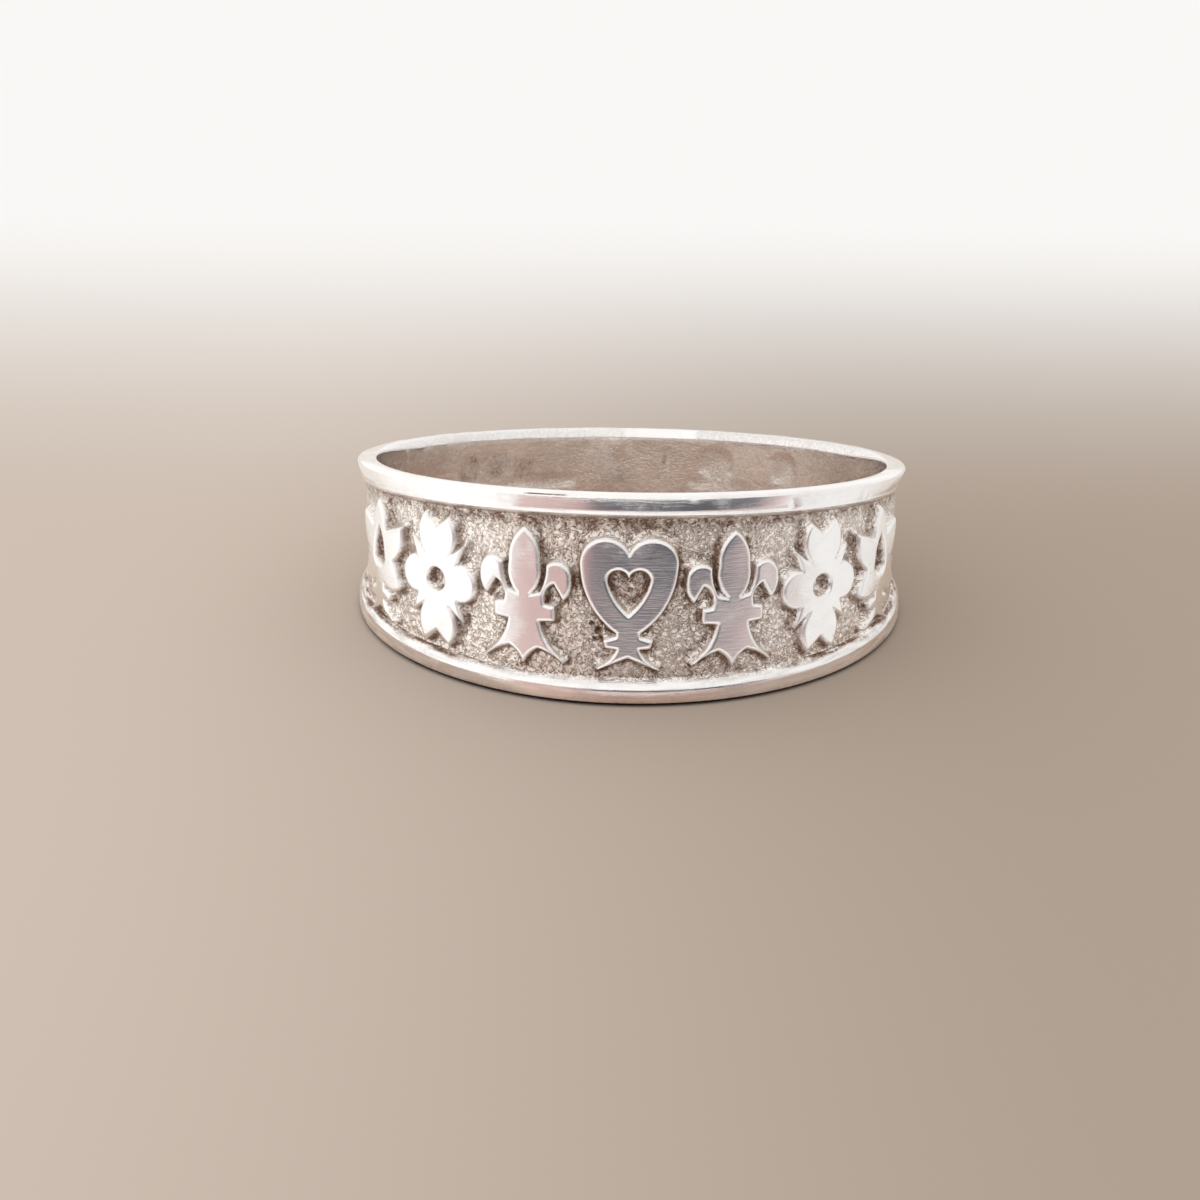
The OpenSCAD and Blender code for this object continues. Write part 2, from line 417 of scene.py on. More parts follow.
def side_rows(loop, offsets):
    """Points beside a loop at the offsets, to its left and right, and round its corners."""
    before, after = loop - np.roll(loop, 1, 0), np.roll(loop, -1, 0) - loop
    turned = [np.stack([-v[:, 1], v[:, 0]], -1) for v in (before, after, before + after)]
    lefts = [v / np.maximum(np.linalg.norm(v, axis=1, keepdims=True), 1e-9) for v in turned]
    rows = [(offset, loop + offset * left) for offset in offsets for left in lefts]
    return np.concatenate([r for _, r in rows]), np.concatenate(
        [np.full(len(r), abs(o)) for o, r in rows])


class PointBed:
    """Points on the unrolled band, each no nearer to the others than it asks for."""

    def __init__(self, cell):
        self.cell = cell
        self.cells = {}
        self.points = []

    def add(self, point, spacing=0.0):
        """Adds a point and returns its number, or None where it lies too near another."""
        x, y = float(point[0]), float(point[1])
        i, j = int(x // self.cell), int(y // self.cell)
        if spacing:
            for a in (i - 1, i, i + 1):
                for b in (j - 1, j, j + 1):
                    for k in self.cells.get((a, b), ()):
                        px, py = self.points[k]
                        if (px - x) ** 2 + (py - y) ** 2 < spacing * spacing:
                            return None
        self.points.append((x, y))
        self.cells.setdefault((i, j), []).append(len(self.points) - 1)
        return len(self.points) - 1


def jittered(low, high, spacing, random, shake=0.32):
    """A shaken triangular grid of points between two corners."""
    rise = spacing * math.sqrt(0.75)
    rows = np.arange(low[1], high[1], rise)
    columns = np.arange(low[0], high[0], spacing)
    x, y = np.meshgrid(columns, rows)
    x = x + (np.arange(len(rows)) % 2)[:, None] * spacing / 2
    grid = np.stack([x.ravel(), y.ravel()], -1)
    return grid + random.uniform(-shake, shake, grid.shape) * spacing


class BandShape:
    """The band's form in its own frame, from the sizes in the sidebar."""

    def __init__(self, band, frieze):
        self.outer = band.outer_radius
        self.bore = band.bore_radius
        self.ground = band.outer_radius - band.ground_drop
        self.face = band.outer_radius - frieze.face_drop
        self.mid = band.middle_half_height
        self.swing = band.swing
        self.rim = UPPER_OUTSIDE[0][0] * MM
        self.lower_rim = LOWER_OUTSIDE[0][0] * MM
        self.foot = band.outer_radius - UPPER_OUTSIDE[0][1] * MM

    def flat_height(self, angle, radius):
        """Height of the upper flat face over the middle plane."""
        return self.mid + self.swing * np.cos(angle) * radius / self.outer

    def channel(self, angle, side):
        """Height of the sunk ground's edge from the middle plane, above (1) or below (-1)."""
        rim = np.where(np.less(side, 0), self.lower_rim, self.rim)
        return self.flat_height(angle, self.foot) - rim

    def place(self, angle, radius, height):
        """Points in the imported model's frame."""
        own = np.stack([radius * np.sin(angle), -radius * np.cos(angle), height], -1)
        turn = np.array(Matrix.Rotation(-LEAN, 3, "X"))
        return own @ turn.T + np.array(HOLE_MIDDLE)


def frieze_loops(shape, frieze):
    """Every ornament's loops on the unrolled band, as arc length and height."""
    end_angle = frieze.pitch * (len(FRIEZE) - 1) / 2
    half_width = frieze.fill * frieze.pitch * shape.outer / 2
    placed = []
    for i, name in enumerate(FRIEZE):
        angle = i * frieze.pitch - end_angle
        narrowing = (1 - math.cos(angle)) / (1 - math.cos(end_angle))
        gap = frieze.front_gap + (frieze.end_gap - frieze.front_gap) * narrowing
        half_height = shape.flat_height(angle, shape.outer) - shape.rim - gap
        loops = ornament_loops(name, half_width, half_height, frieze.eye_radius)
        for loop in loops:
            loop[:, 0] = shape.outer * (angle + np.arcsin(loop[:, 0] / shape.outer))
        placed.append([refined(loop, EDGE_STEP) for loop in loops])
    return placed


def lay_points(shape, ornaments, stations, random):
    """Points of the unrolled ground and faces, the edges to keep, and the border rows."""
    bed = PointBed(FACE_GRAIN)
    angles = np.linspace(-math.pi, math.pi, stations + 1)
    up, down = shape.channel(angles, 1), shape.channel(angles, -1)
    arc = shape.outer * angles
    top = [bed.add(p) for p in zip(arc, up)]
    bottom = [bed.add(p) for p in zip(arc, -down)]
    for beside in (up - BORDER_STEP, BORDER_STEP - down):
        for p in zip(arc[1:-1], beside[1:-1]):
            bed.add(p)
    seam_rows = round((up[0] + down[0]) / BACK_GRAIN)
    seam_heights = np.linspace(-down[0], up[0], seam_rows + 1)[1:-1]
    left = [bed.add((arc[0], h)) for h in seam_heights]
    right = [bed.add((arc[-1], h)) for h in seam_heights]
    keep = []
    for chain in (top, bottom, [bottom[0], *left, top[0]], [bottom[-1], *right, top[-1]]):
        keep += zip(chain, chain[1:])
    for loops in ornaments:
        for loop in loops:
            ring = [bed.add(p) for p in loop]
            keep += zip(ring, ring[1:] + ring[:1])
    offsets = [d * MM for d, _ in WALL if d] + [0.13 * MM]
    for loops in ornaments:
        for loop in loops:
            points, asked = side_rows(loop, offsets)
            sound = np.abs(signed_distance(points, loops)) > 0.93 * asked
            for p in points[sound]:
                bed.add(p, 0.45 * EDGE_STEP)
    for turn, spacing in ((GRAIN_TURN, FRONT_GRAIN), (math.pi, BACK_GRAIN)):
        high = np.array((turn * shape.outer - spacing / 2, shape.mid + shape.swing))
        grid = jittered(-high, high, spacing, random)
        angle = grid[:, 0] / shape.outer
        grid = grid[
            (grid[:, 1] < shape.channel(angle, 1) - 2 * BORDER_STEP)
            & (-grid[:, 1] < shape.channel(angle, -1) - 2 * BORDER_STEP)]
        if turn > GRAIN_TURN:
            grid = grid[np.abs(grid[:, 0]) > GRAIN_TURN * shape.outer]
        distance = nearest_ornament(grid, ornaments)
        for p in grid[distance < WALL[0][0] * MM]:
            bed.add(p, 0.6 * spacing)
    high = np.array((GRAIN_TURN * shape.outer, shape.mid + shape.swing))
    grid = jittered(-high, high, FACE_GRAIN, random, 0.1)
    for p in grid[nearest_ornament(grid, ornaments) > 0.15 * MM]:
        bed.add(p, 0.5 * FACE_GRAIN)
    return np.array(bed.points), keep, top, bottom, left, right


def nearest_ornament(points, ornaments):
    """Signed distance to whichever ornament is nearest."""
    return np.max([signed_distance(points, loops) for loops in ornaments], axis=0)


def soft_noise(points, wavelength, seed):
    """Smooth noise from -1 to 1 at each point of an array."""
    shift = Vector((seed * 7.3, seed * 3.1, seed * 1.7))
    return np.array([noise.noise(Vector(p) / wavelength + shift) for p in points])


def unrolled_mesh(shape, ornaments, stations, random):
    """Triangles of the unrolled ground and faces, and the numbers of its border rows."""
    points, keep, top, bottom, left, right = lay_points(shape, ornaments, stations, random)
    flat = [Vector(p) / MM for p in points]
    found = delaunay_2d_cdt(flat, keep, [], 0, 1e-6, True)
    coords = np.array([v[:] for v in found[0]]) * MM
    triangles = np.array([t for t in found[2] if len(t) == 3])
    number = np.zeros(len(points), int)
    for i, sources in enumerate(found[3]):
        for s in sources:
            number[s] = i
    middle = coords[triangles].mean(1)
    angles = np.linspace(-math.pi, math.pi, stations + 1)
    up, down = (
        np.interp(middle[:, 0], shape.outer * angles, shape.channel(angles, side))
        for side in (1, -1))
    triangles = triangles[(middle[:, 1] < up) & (-middle[:, 1] < down)]
    rows = [number[r] for r in (top, bottom, left, right)]
    return coords, triangles, rows


def ground_and_faces(shape, frieze, ornaments, coords, border, random):
    """Radius of each unrolled point, and how polished, tarnished and worn it is. The tarnish
    includes painted shade under the upper rim, below the ornaments and in their eyes.
    """
    arc, height = coords.T
    angle = arc / shape.outer
    distance = nearest_ornament(coords, ornaments)
    step = 0.02 * MM
    faces_up = (distance - nearest_ornament(coords + (0, step), ornaments)) / step
    slant = 1 + UPPER_SLANT * smooth(0.25, 0.95, faces_up)
    distance = np.where(distance < 0, distance / slant, distance)
    to_rim = shape.channel(angle, np.sign(height)) - np.abs(height)
    round_points = np.stack(
        [shape.outer * np.cos(angle), shape.outer * np.sin(angle), height], -1)

    # The surface
    slow = soft_noise(round_points, 1.1 * MM, 1)
    fast = soft_noise(round_points, 0.3 * MM, 2)
    worm = 1 - 3.2 * np.abs(soft_noise(round_points, 0.27 * MM, 8))
    grain = random.normal(0, 1, len(coords)).clip(-2.2, 2.2)
    share = np.interp(distance, [d * MM for d, _ in WALL], [s for _, s in WALL])
    fillet = (shape.foot - shape.ground) * (1 - smooth(0, 0.14 * MM, to_rim))
    radius = shape.ground + (shape.face - shape.ground) * share + fillet
    rough = smooth(0, 0.16 * MM, to_rim)
    on_ground = smooth(-0.06 * MM, -0.20 * MM, distance)
    on_wall = smooth(0.02 * MM, -0.03 * MM, distance) * (1 - on_ground)
    stipple = frieze.stipple * (grain + 2.2 * worm - 0.9)
    radius += rough * on_ground * (stipple + 0.016 * MM * fast + 0.020 * MM * slow)
    radius += rough * on_wall * (0.35 * frieze.stipple * grain + 0.014 * MM * fast)
    radius += smooth(0.03 * MM, 0.15 * MM, distance) * 0.008 * MM * slow
    pit = 0 * arc
    for degrees, up, width, rise in LUMPS:
        away = np.hypot(arc - shape.outer * math.radians(degrees), height - up * MM)
        bump = np.exp(-(away / (width * MM)) ** 2)
        radius += rise * MM * bump
        pit += bump * (rise < 0)
    radius = np.minimum(radius, shape.outer)

    # Its finish
    front = smooth(math.radians(36), math.radians(12), np.abs(angle))
    polish = np.maximum(smooth(-0.04 * MM, 0, distance), 0.3 * (1 - front))
    polish = np.maximum(polish, 0.6 * (slant > 1.2) * smooth(-0.11 * MM, -0.02 * MM, distance))
    worn = smooth(-0.045 * MM, 0, distance) * smooth(0.09 * MM, 0.05 * MM, distance)
    depth = smooth(shape.ground + 0.31 * MM, shape.ground + 0.12 * MM, radius)
    # Film at the ornaments' foot, kept weak above them where their walls face up: tarnish, and a
    # painted shadow below and beside them
    foot = smooth(-0.25 * MM, -0.15 * MM, distance) * (1 - 0.8 * smooth(1, 2, slant))
    above = height > 0
    # Film by the rims, heavier and wider under the upper rim: tarnish and painted shade
    reach = np.where(above, UPPER_RIM_REACH, LOWER_RIM_REACH)
    rim_film_and_shade = np.where(above, UPPER_RIM_FILM_AND_SHADE, LOWER_RIM_FILM)
    rim_film_and_shade = rim_film_and_shade * (1 - smooth(0.02 * MM, reach, to_rim))
    patch = smooth(-0.4, 0.35, soft_noise(round_points, 0.45 * MM, 3))
    pits = 0.5 * smooth(0.3, 1.6, -grain) + 0.5 * smooth(0.45, -0.3, worm)
    # Darkening in the ornaments' eyes: tarnish and painted shade
    eyes = nearest_ornament(coords, [loops[:1] for loops in ornaments]) > 0
    tarnish = FOOT_FILM_AND_SHADOW * foot * (0.45 + 0.55 * patch) + rim_film_and_shade * (0.4 + 0.6 * patch)
    tarnish += FRONT_DARKENING * front + PIT_FILM * pits + EYE_FILM_AND_SHADE * eyes
    on_lower_rim = smooth(0.07 * MM, 0, to_rim) * ~above
    tarnish *= depth * (1 - polish) * (1 - 0.6 * on_lower_rim)
    radius[border] = shape.foot
    return radius, polish, np.clip(tarnish, 0, 1) + 3 * pit, worn


def dent(across, up, half_width, half_height, turn):
    """1 in the middle of an oblong dent, falling to 0 outside it."""
    c, s = math.cos(turn), math.sin(turn)
    u, v = (c * across + s * up) / half_width, (c * up - s * across) / half_height
    away = (np.abs(u) ** 3 + np.abs(v) ** 3) ** (1 / 3)
    return smooth(1.15, 0.72, away)


def section_rows():
    """Rows of the rims and the finger hole: side (1 above, -1 below, 0 in the hole), drop,
    depth and whether the row belongs to the inner edge. In the hole the depth is the
    share of the way down."""
    rows = []
    for side, outside in ((1, UPPER_OUTSIDE), (-1, LOWER_OUTSIDE)):
        rims = [(side, drop * MM, depth * MM, False) for drop, depth in outside[1:]]
        rims += [(side, drop, out, True) for drop, out in RIM_INSIDE]
        rows += rims[::side]
    hole_rows = 22
    through = [(0, 0, i / hole_rows, True) for i in range(1, hole_rows)]
    middle = len(UPPER_OUTSIDE) - 1 + len(RIM_INSIDE)
    return rows[:middle] + through + rows[middle:]


def turn_from(angles, degrees):
    """Angles counted from a place given in degrees from the front, between -pi and pi."""
    return (angles - math.radians(degrees) + math.pi) % (2 * math.pi) - math.pi


def stretch(angles, ends):
    """1 between two angles and 0 beyond them, with soft ends."""
    first, last = ends
    return smooth(first, first + 0.02, angles) * smooth(last, last - 0.02, angles)


class RimWear:
    """Rows of the rims and the finger hole, with their wear at each station. Each row
    comes as radius, height, polish, tarnish and wear."""

    def __init__(self, shape, stations):
        self.shape = shape
        self.angles = np.linspace(-math.pi, math.pi, stations + 1)[:-1]
        cosine, sine = np.cos(self.angles), np.sin(self.angles)
        self.points = np.stack([cosine, sine, 0 * cosine], -1) * shape.outer
        self.wander = soft_noise(self.points, 5 * MM, 4)
        self.shiver = soft_noise(self.points, 1.4 * MM, 5)
        self.back = smooth(0.05, -0.5, cosine)
        self.ends = sine ** 4
        self.rounding = FRONT_ROUNDING + (BACK_ROUNDING - FRONT_ROUNDING) * self.back
        self.scrape = stretch(self.angles, SCRAPE)
        self.scrape *= smooth(-0.40, -0.15, soft_noise(self.points, 0.22 * MM, 11))
        turned = self.angles % (2 * math.pi)
        dull = 0.14 + 0.08 * (turned < math.pi)
        self.dull_back = dull * self.back * (1 - stretch(turned, CLEAR_BACK_SPAN))

    def even(self, value):
        """The same value at every station."""
        return np.full(len(self.angles), float(value))

    def streak(self, drop):
        """Streaks of tarnish along a rim, at a drop below its flat face."""
        points = self.points * 0.45 + (0, 0, drop * 6)
        return smooth(-0.25, 0.35, soft_noise(points, 0.4 * MM, 9))

    def inner_edge(self, side, drop, out):
        """A row of the edge where a flat face turns into the finger hole."""
        radius = self.shape.bore + out * self.rounding
        height = side * (self.shape.flat_height(self.angles, radius) - drop * self.rounding)
        return radius, height, self.even(1), self.dull_back * (side > 0), self.even(0)

    def outside(self, side, drop, depth):
        """A row of a rim's outer side."""
        cosine = np.cos(self.angles)
        lost = self.shape.outer * (1 - math.cos(LEAN)) * cosine ** 2
        lost -= drop * math.sin(LEAN) * cosine
        lost += MM * (0.006 * (1 + self.wander) + 0.003 * (1 + self.shiver))
        radius = self.shape.outer - depth - smooth(0.84 * MM, 0.6 * MM, drop) * lost
        if side > 0:
            radius -= self.upper_loss(drop, depth)
        height = side * (self.shape.flat_height(self.angles, radius) - drop)
        if side > 0:
            height -= 0.010 * MM * (1 + self.wander) * smooth(0.6 * MM, 0.3 * MM, drop)
        finish = self.upper_finish(drop) if side > 0 else self.lower_finish(drop)
        return radius, height, *finish, self.even(0)

    def upper_loss(self, drop, depth):
        """What the upper rim's outer side has lost at its ends, at the back and in nicks."""
        lean = np.where(self.angles < 0, LEFT_LEAN, RIGHT_LEAN) * self.ends
        kept = 1 - depth / (UPPER_OUTSIDE[0][1] * MM)
        loss = kept * lean * np.clip(drop - 0.1 * MM, 0, 0.5 * MM) + 0.026 * MM * self.back
        for degrees, at, width, cut in NICKS:
            across = turn_from(self.angles, degrees) * self.shape.outer
            away = np.hypot(across, drop - at * MM) / (width * MM)
            loss += cut * MM * np.exp(-away ** 2)
        return loss

    def upper_finish(self, drop):
        """Polish and tarnish of a row of the upper rim's outer side."""
        # The lower flank, which faces down into the ground, is dulled and darkened: tarnish and
        # painted shade
        polish = self.even(1 - 0.7 * smooth(0.72 * MM, 0.84 * MM, drop))
        tarnish = self.even(0.35 * smooth(0.68 * MM, 0.84 * MM, drop))
        tarnish += self.dull_back * (drop < 0.2 * MM)
        tarnish += 1.7 * self.scrape * (0.06 * MM < drop < 0.09 * MM)
        tarnish += 0.3 * self.ends * self.streak(drop) * smooth(0.2 * MM, 0.6 * MM, drop)
        return polish, tarnish

    def lower_finish(self, drop):
        """Polish and tarnish of a row of the lower rim's outer side, which is blackened where the
        ring rests: a painted contact shadow. Towards the sides its patina is partly a painted
        reflection of the tan table."""
        turn = np.abs(self.angles)
        sides = smooth(math.radians(14), math.radians(48), turn)
        sides *= smooth(math.radians(115), math.radians(75), turn)
        # Towards the sides the flank is dulled and tinted tan: partly patina, partly a painted
        # reflection of the tan table
        flank = (0.15 + 0.85 * sides) * smooth(0.70 * MM, 0.86 * MM, drop)
        polish = 1 - 0.4 * flank - 0.5 * smooth(0.83 * MM, 0.88 * MM, drop)
        patina_and_tan_reflection = 0.85 * flank + 0.10 + 0.35 * self.ends
        # Painted contact shadow: the bottom edge is blackened where the ring rests on the table
        painted_contact_shadow = 6 * smooth(0.155 * MM, 0.115 * MM, drop)
        return polish, patina_and_tan_reflection * self.streak(drop) + painted_contact_shadow

    def hole(self, share):
        """A row of the finger hole at a share of the way down, with its dents."""
        shape = self.shape
        radius = self.even(shape.bore)
        height = (shape.flat_height(self.angles, shape.bore) - self.rounding) * (1 - 2 * share)
        places = shape.place(self.angles, radius, height)
        stain = soft_noise(places, 1.7 * MM, 6)
        floor = 0.85 + 0.5 * soft_noise(places, 0.60 * MM, 10)
        polish, worn = self.even(0.85), self.even(0)
        tarnish = 0.06 + 0.15 * smooth(-0.2, 0.5, stain)
        for degrees, up, half_width, half_height, cut, turn, film in DENTS:
            mark = dent(
                turn_from(self.angles, degrees) * shape.bore, height - up * MM,
                half_width * MM, half_height * MM, math.radians(turn))
            radius += cut * MM * floor * mark
            polish -= 0.3 * mark
            worn += mark * (smooth(0.95, 0.75, floor) if film > 0.1 else 1)
            tarnish += mark * film * (0.55 + 0.45 * smooth(0.62, 1.1, floor))
        return radius, height, polish, tarnish, worn


def rims_and_hole(shape, stations):
    """Points of the rims and the finger hole, row by row, with polish, tarnish, wear and
    the way run across the section."""
    wear = RimWear(shape, stations)
    rows = []
    length, before = 0.0, None
    for side, drop, depth, inner in section_rows():
        if side == 0:
            row = wear.hole(depth)
        else:
            row = (wear.inner_edge if inner else wear.outside)(side, drop, depth)
        radius, height, *finish = row
        here = (float(radius.mean()), float(height.mean()))
        length += math.dist(before or here, here)
        before = here
        rows.append((shape.place(wear.angles, radius, height), *finish, wear.even(length)))
    return [np.concatenate(column) for column in zip(*rows)]


def ring_mesh(band, frieze):
    """The whole ring as one closed mesh, with its finish as values on the vertices."""
    random = np.random.default_rng(frieze.seed)
    shape = BandShape(band, frieze)
    stations = band.stations
    ornaments = frieze_loops(shape, frieze)
    coords, triangles, border_rows = unrolled_mesh(shape, ornaments, stations, random)
    top, bottom, left, right = border_rows
    border = np.concatenate([top, bottom])
    radius, *values = ground_and_faces(shape, frieze, ornaments, coords, border, random)
    radius[right] = radius[left]
    places = shape.place(coords[:, 0] / shape.outer, radius, coords[:, 1])
    # Both ends of the unrolled band share the points of the left end
    new = np.arange(len(places))
    for keep, drop in (*zip(left, right), (top[0], top[-1]), (bottom[0], bottom[-1])):
        new[drop] = keep
    more, *more_values, running = rims_and_hole(shape, stations)
    rows = len(section_rows())
    grid = len(places) + np.arange(rows * stations).reshape(rows, stations)
    grid = np.vstack([new[top[:-1]], grid, new[bottom[:-1]]])
    along = np.roll(grid, -1, 1)
    quads = np.stack([grid[:-1], along[:-1], along[1:], grid[1:]], -1).reshape(-1, 4)
    faces = new[triangles].tolist() + quads.tolist()
    mesh = bpy.data.meshes.new("ring_silver")
    everything = np.concatenate([places, more])
    used = np.zeros(len(everything), bool)
    used[np.concatenate([new[triangles].ravel(), quads.ravel()])] = True
    order = np.cumsum(used) - 1
    mesh.from_pydata(everything[used].tolist(), [], [[int(order[v]) for v in f] for f in faces])
    angle_row = np.tile(np.linspace(-math.pi, math.pi, stations + 1)[:-1], rows)
    arc = np.concatenate([coords[:, 0], angle_row * shape.outer])[used]
    up = np.concatenate([coords[:, 1], 4 * MM + running])[used]
    for name, first, second in zip(VERTEX_VALUES, values, more_values):
        layer = mesh.attributes.new(name, "FLOAT", "POINT")
        both = np.concatenate([first, second])[used]
        layer.data.foreach_set("value", both.astype(np.float32))
    put_band_map(mesh, arc, up, 2 * math.pi * shape.outer)
    mesh.shade_smooth()
    mesh.validate()
    return mesh


def put_band_map(mesh, arc, up, turn):
    """Map of the surface in millimetres: along the band, and across it."""
    corner = np.zeros(len(mesh.loops), int)
    mesh.loops.foreach_get("vertex_index", corner)
    start = np.zeros(len(mesh.polygons), int)
    total = np.zeros(len(mesh.polygons), int)
    mesh.polygons.foreach_get("loop_start", start)
    mesh.polygons.foreach_get("loop_total", total)
    face = np.repeat(np.arange(len(start)), total)
    along = arc[corner]
    furthest = np.maximum.reduceat(along, start)[face]
    along = np.where(furthest - along > turn / 2, along + turn, along)
    layer = mesh.uv_layers.new(name="band")
    places = np.stack([along, up[corner]], -1) / MM
    layer.data.foreach_set("uv", places.astype(np.float32).ravel())


class NodeBench:
    """Adds and joins the nodes of one material or world."""

    def __init__(self, tree):
        self.tree = tree
        self.tree.nodes.clear()

    def add(self, kind, inputs=None, **settings):
        """A node with its settings. An input is a value, or another node's output."""
        node = self.tree.nodes.new(kind)
        for name, value in settings.items():
            setattr(node, name, value)
        for name, value in (inputs or {}).items():
            if isinstance(value, bpy.types.NodeSocket):
                self.tree.links.new(value, node.inputs[name])
            else:
                node.inputs[name].default_value = value
        return node

    def math(self, operation, a, b=0.0, **settings):
        """The result of one step of arithmetic."""
        node = self.add("ShaderNodeMath", {0: a, 1: b}, operation=operation, **settings)
        return node.outputs[0]

    def plus(self, a, b, **settings):
        """The sum of two numbers."""
        return self.math("ADD", a, b, **settings)

    def minus(self, a, b):
        """The first number less the second."""
        return self.math("SUBTRACT", a, b)

    def times(self, product, *factors):
        """The product of all the numbers."""
        for factor in factors:
            product = self.math("MULTIPLY", product, factor)
        return product

    def blend(self, factor, a, b, kind="RGBA"):
        """a where the factor is 0 and b where it is 1."""
        slots = {"RGBA": (6, 7, 2), "FLOAT": (2, 3, 0)}[kind]
        node = self.add("ShaderNodeMix", {0: factor, slots[0]: a, slots[1]: b}, data_type=kind)
        return node.outputs[slots[2]]

    def ramp(self, value, low, high, **settings):
        """0 below low and 1 above high, clamped."""
        return self.add("ShaderNodeMapRange", {0: value, 1: low, 2: high}, **settings).outputs[0]

    def cloud(self, vector, scale, detail=2.0, roughness=0.5, distortion=0.0):
        """Noise from 0 to 1."""
        values = {
            "Vector": vector, "Scale": scale, "Detail": detail, "Roughness": roughness,
            "Distortion": distortion}
        return self.add("ShaderNodeTexNoise", values).outputs[0]


def rgba(colour):
    """A colour with full alpha."""
    return (*colour, 1.0)


def silver_material(silver):
    """Old silver: bright and finely scratched where it is worn, matt and brown in recesses, where
    the brown is partly painted shade, and black where it rests, a painted contact shadow.
    """
    material = bpy.data.materials.new("old_silver")
    material.use_nodes = True
    bench = NodeBench(material.node_tree)
    place = bench.add("ShaderNodeTexCoord").outputs["Object"]
    band = bench.add("ShaderNodeUVMap", uv_map="band").outputs[0]
    polish, tarnish, worn = (
        bench.add("ShaderNodeAttribute", attribute_name=name).outputs["Fac"]
        for name in VERTEX_VALUES)
    matt_share = bench.minus(1.0, polish)

    # Creases and hollows of the matt ground
    film = bench.cloud(place, 0.9 * PER_MM, 4.0, 0.6)
    grain = bench.cloud(place, 9 * PER_MM, 2.0, 0.6)
    wrinkle = bench.cloud(place, 4.8 * PER_MM, 2.0, 0.55, 0.9)
    crease = bench.ramp(bench.math("ABSOLUTE", bench.minus(wrinkle, 0.5)), 0.008, 0.05)
    furrow = bench.times(bench.minus(1.0, crease), matt_share, bench.ramp(film, 0.10, 0.50))
    hollows = bench.times(bench.ramp(grain, 0.50, 0.34), matt_share)

    # Colour, from clean silver to the dark film of tarnish and painted shade
    specks = bench.cloud(place, 7 * PER_MM, 3.0, 0.7)
    dark = bench.times(tarnish, bench.plus(bench.ramp(specks, 0.28, 0.62), 0.35))
    dark = bench.plus(dark, bench.times(hollows, HOLLOW_FILM))
    dark = bench.plus(dark, bench.times(furrow, CREASE_FILM), use_clamp=True)
    clean = bench.blend(polish, rgba(silver.matt), rgba(silver.bright))
    dull = bench.times(bench.ramp(film, 0.42, 0.75), 0.4)
    clean = bench.blend(dull, clean, rgba(DULL_SILVER))
    colour = bench.blend(dark, clean, rgba(silver.tarnish))
    # Painted contact shadow: past a tarnish of 1.2 the silver turns black, along the lower edge
    # where the ring rests and in the casting's pits
    colour = bench.blend(bench.ramp(tarnish, 1.2, 3.0), colour, rgba(CONTACT_SHADOW_AND_PIT_BLACK))

    # Scratches and roughness
    scratches = []
    for turn, across, along in SCRATCHES:
        mapped = bench.add("ShaderNodeMapping", {
            "Vector": band, "Rotation": (0, 0, turn), "Scale": (across * along, across, 1)})
        scratch = bench.cloud(mapped.outputs[0], 1.0, 3.0, 0.65)
        scratches.append(bench.ramp(scratch, 0.24, 0.52))
    lines = bench.times(*scratches)
    scuffs = bench.cloud(place, 0.55 * PER_MM, 5.0, 0.62)
    smear = bench.times(bench.ramp(scuffs, 0.48, 0.64), SMEAR_ROUGH)
    scratched = bench.times(bench.minus(1.0, lines), SCRATCH_ROUGH)
    shiny = bench.plus(bench.plus(scratched, smear), POLISHED_ROUGH)
    rough = bench.blend(polish, MATT_ROUGH, shiny, "FLOAT")
    rough = bench.blend(bench.times(worn, 0.8), rough, WORN_ROUGH, "FLOAT")
    rough = bench.plus(rough, bench.times(dark, 0.25), use_clamp=True)

    # Relief finer than the mesh
    fine_bump = bench.add(
        "ShaderNodeBump", {"Strength": 0.12, "Distance": 0.012 * MM, "Height": lines})
    relief = bench.plus(bench.times(crease, 0.7), bench.times(grain, 0.8))
    bump = bench.add("ShaderNodeBump", {
        "Strength": 0.8, "Distance": 0.040 * MM, "Height": bench.times(relief, matt_share),
        "Normal": fine_bump.outputs[0]})
    shader = bench.add("ShaderNodeBsdfPrincipled", {
        "Base Color": colour, "Metallic": 1.0, "Roughness": rough, "Normal": bump.outputs[0]})
    bench.add("ShaderNodeOutputMaterial", {"Surface": shader.outputs[0]})
    return material


class OBJECT_OT_keepsake_ring_cast(Operator):
    """Make the silver ring with its rims, ground and raised ornaments"""
    bl_idname = "object.keepsake_ring_cast"
    bl_label = "Cast the Ring"
    bl_options = {"REGISTER", "UNDO"}

    def execute(self, context):
        scene = context.scene
        mesh = ring_mesh(scene.keepsake_ring_band, scene.keepsake_ring_frieze)
        mesh.materials.append(silver_material(scene.keepsake_ring_silver))
        ring = bpy.data.objects.new("silver_ring", mesh)
        scene.collection.objects.link(ring)
        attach(ring, "root")
        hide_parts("ring")
        return {"FINISHED"}


def table_colour(bench, place, stage):
    """Colour of the table, with painted light and shade: lighter to the left of the ring, darker
    to the right and in front of it, and near white far behind it.
    """
    x, y, _ = bench.add("ShaderNodeSeparateXYZ", {0: place}).outputs
    right = bench.ramp(x, -0.02, 0.014, interpolation_type="SMOOTHSTEP")
    back = bench.ramp(y, 0.006, 0.07, interpolation_type="SMOOTHSTEP")
    near = bench.blend(right, rgba(stage.table_lit_left), rgba(stage.table_shaded_right))
    return bench.blend(back, near, rgba(stage.table_far))


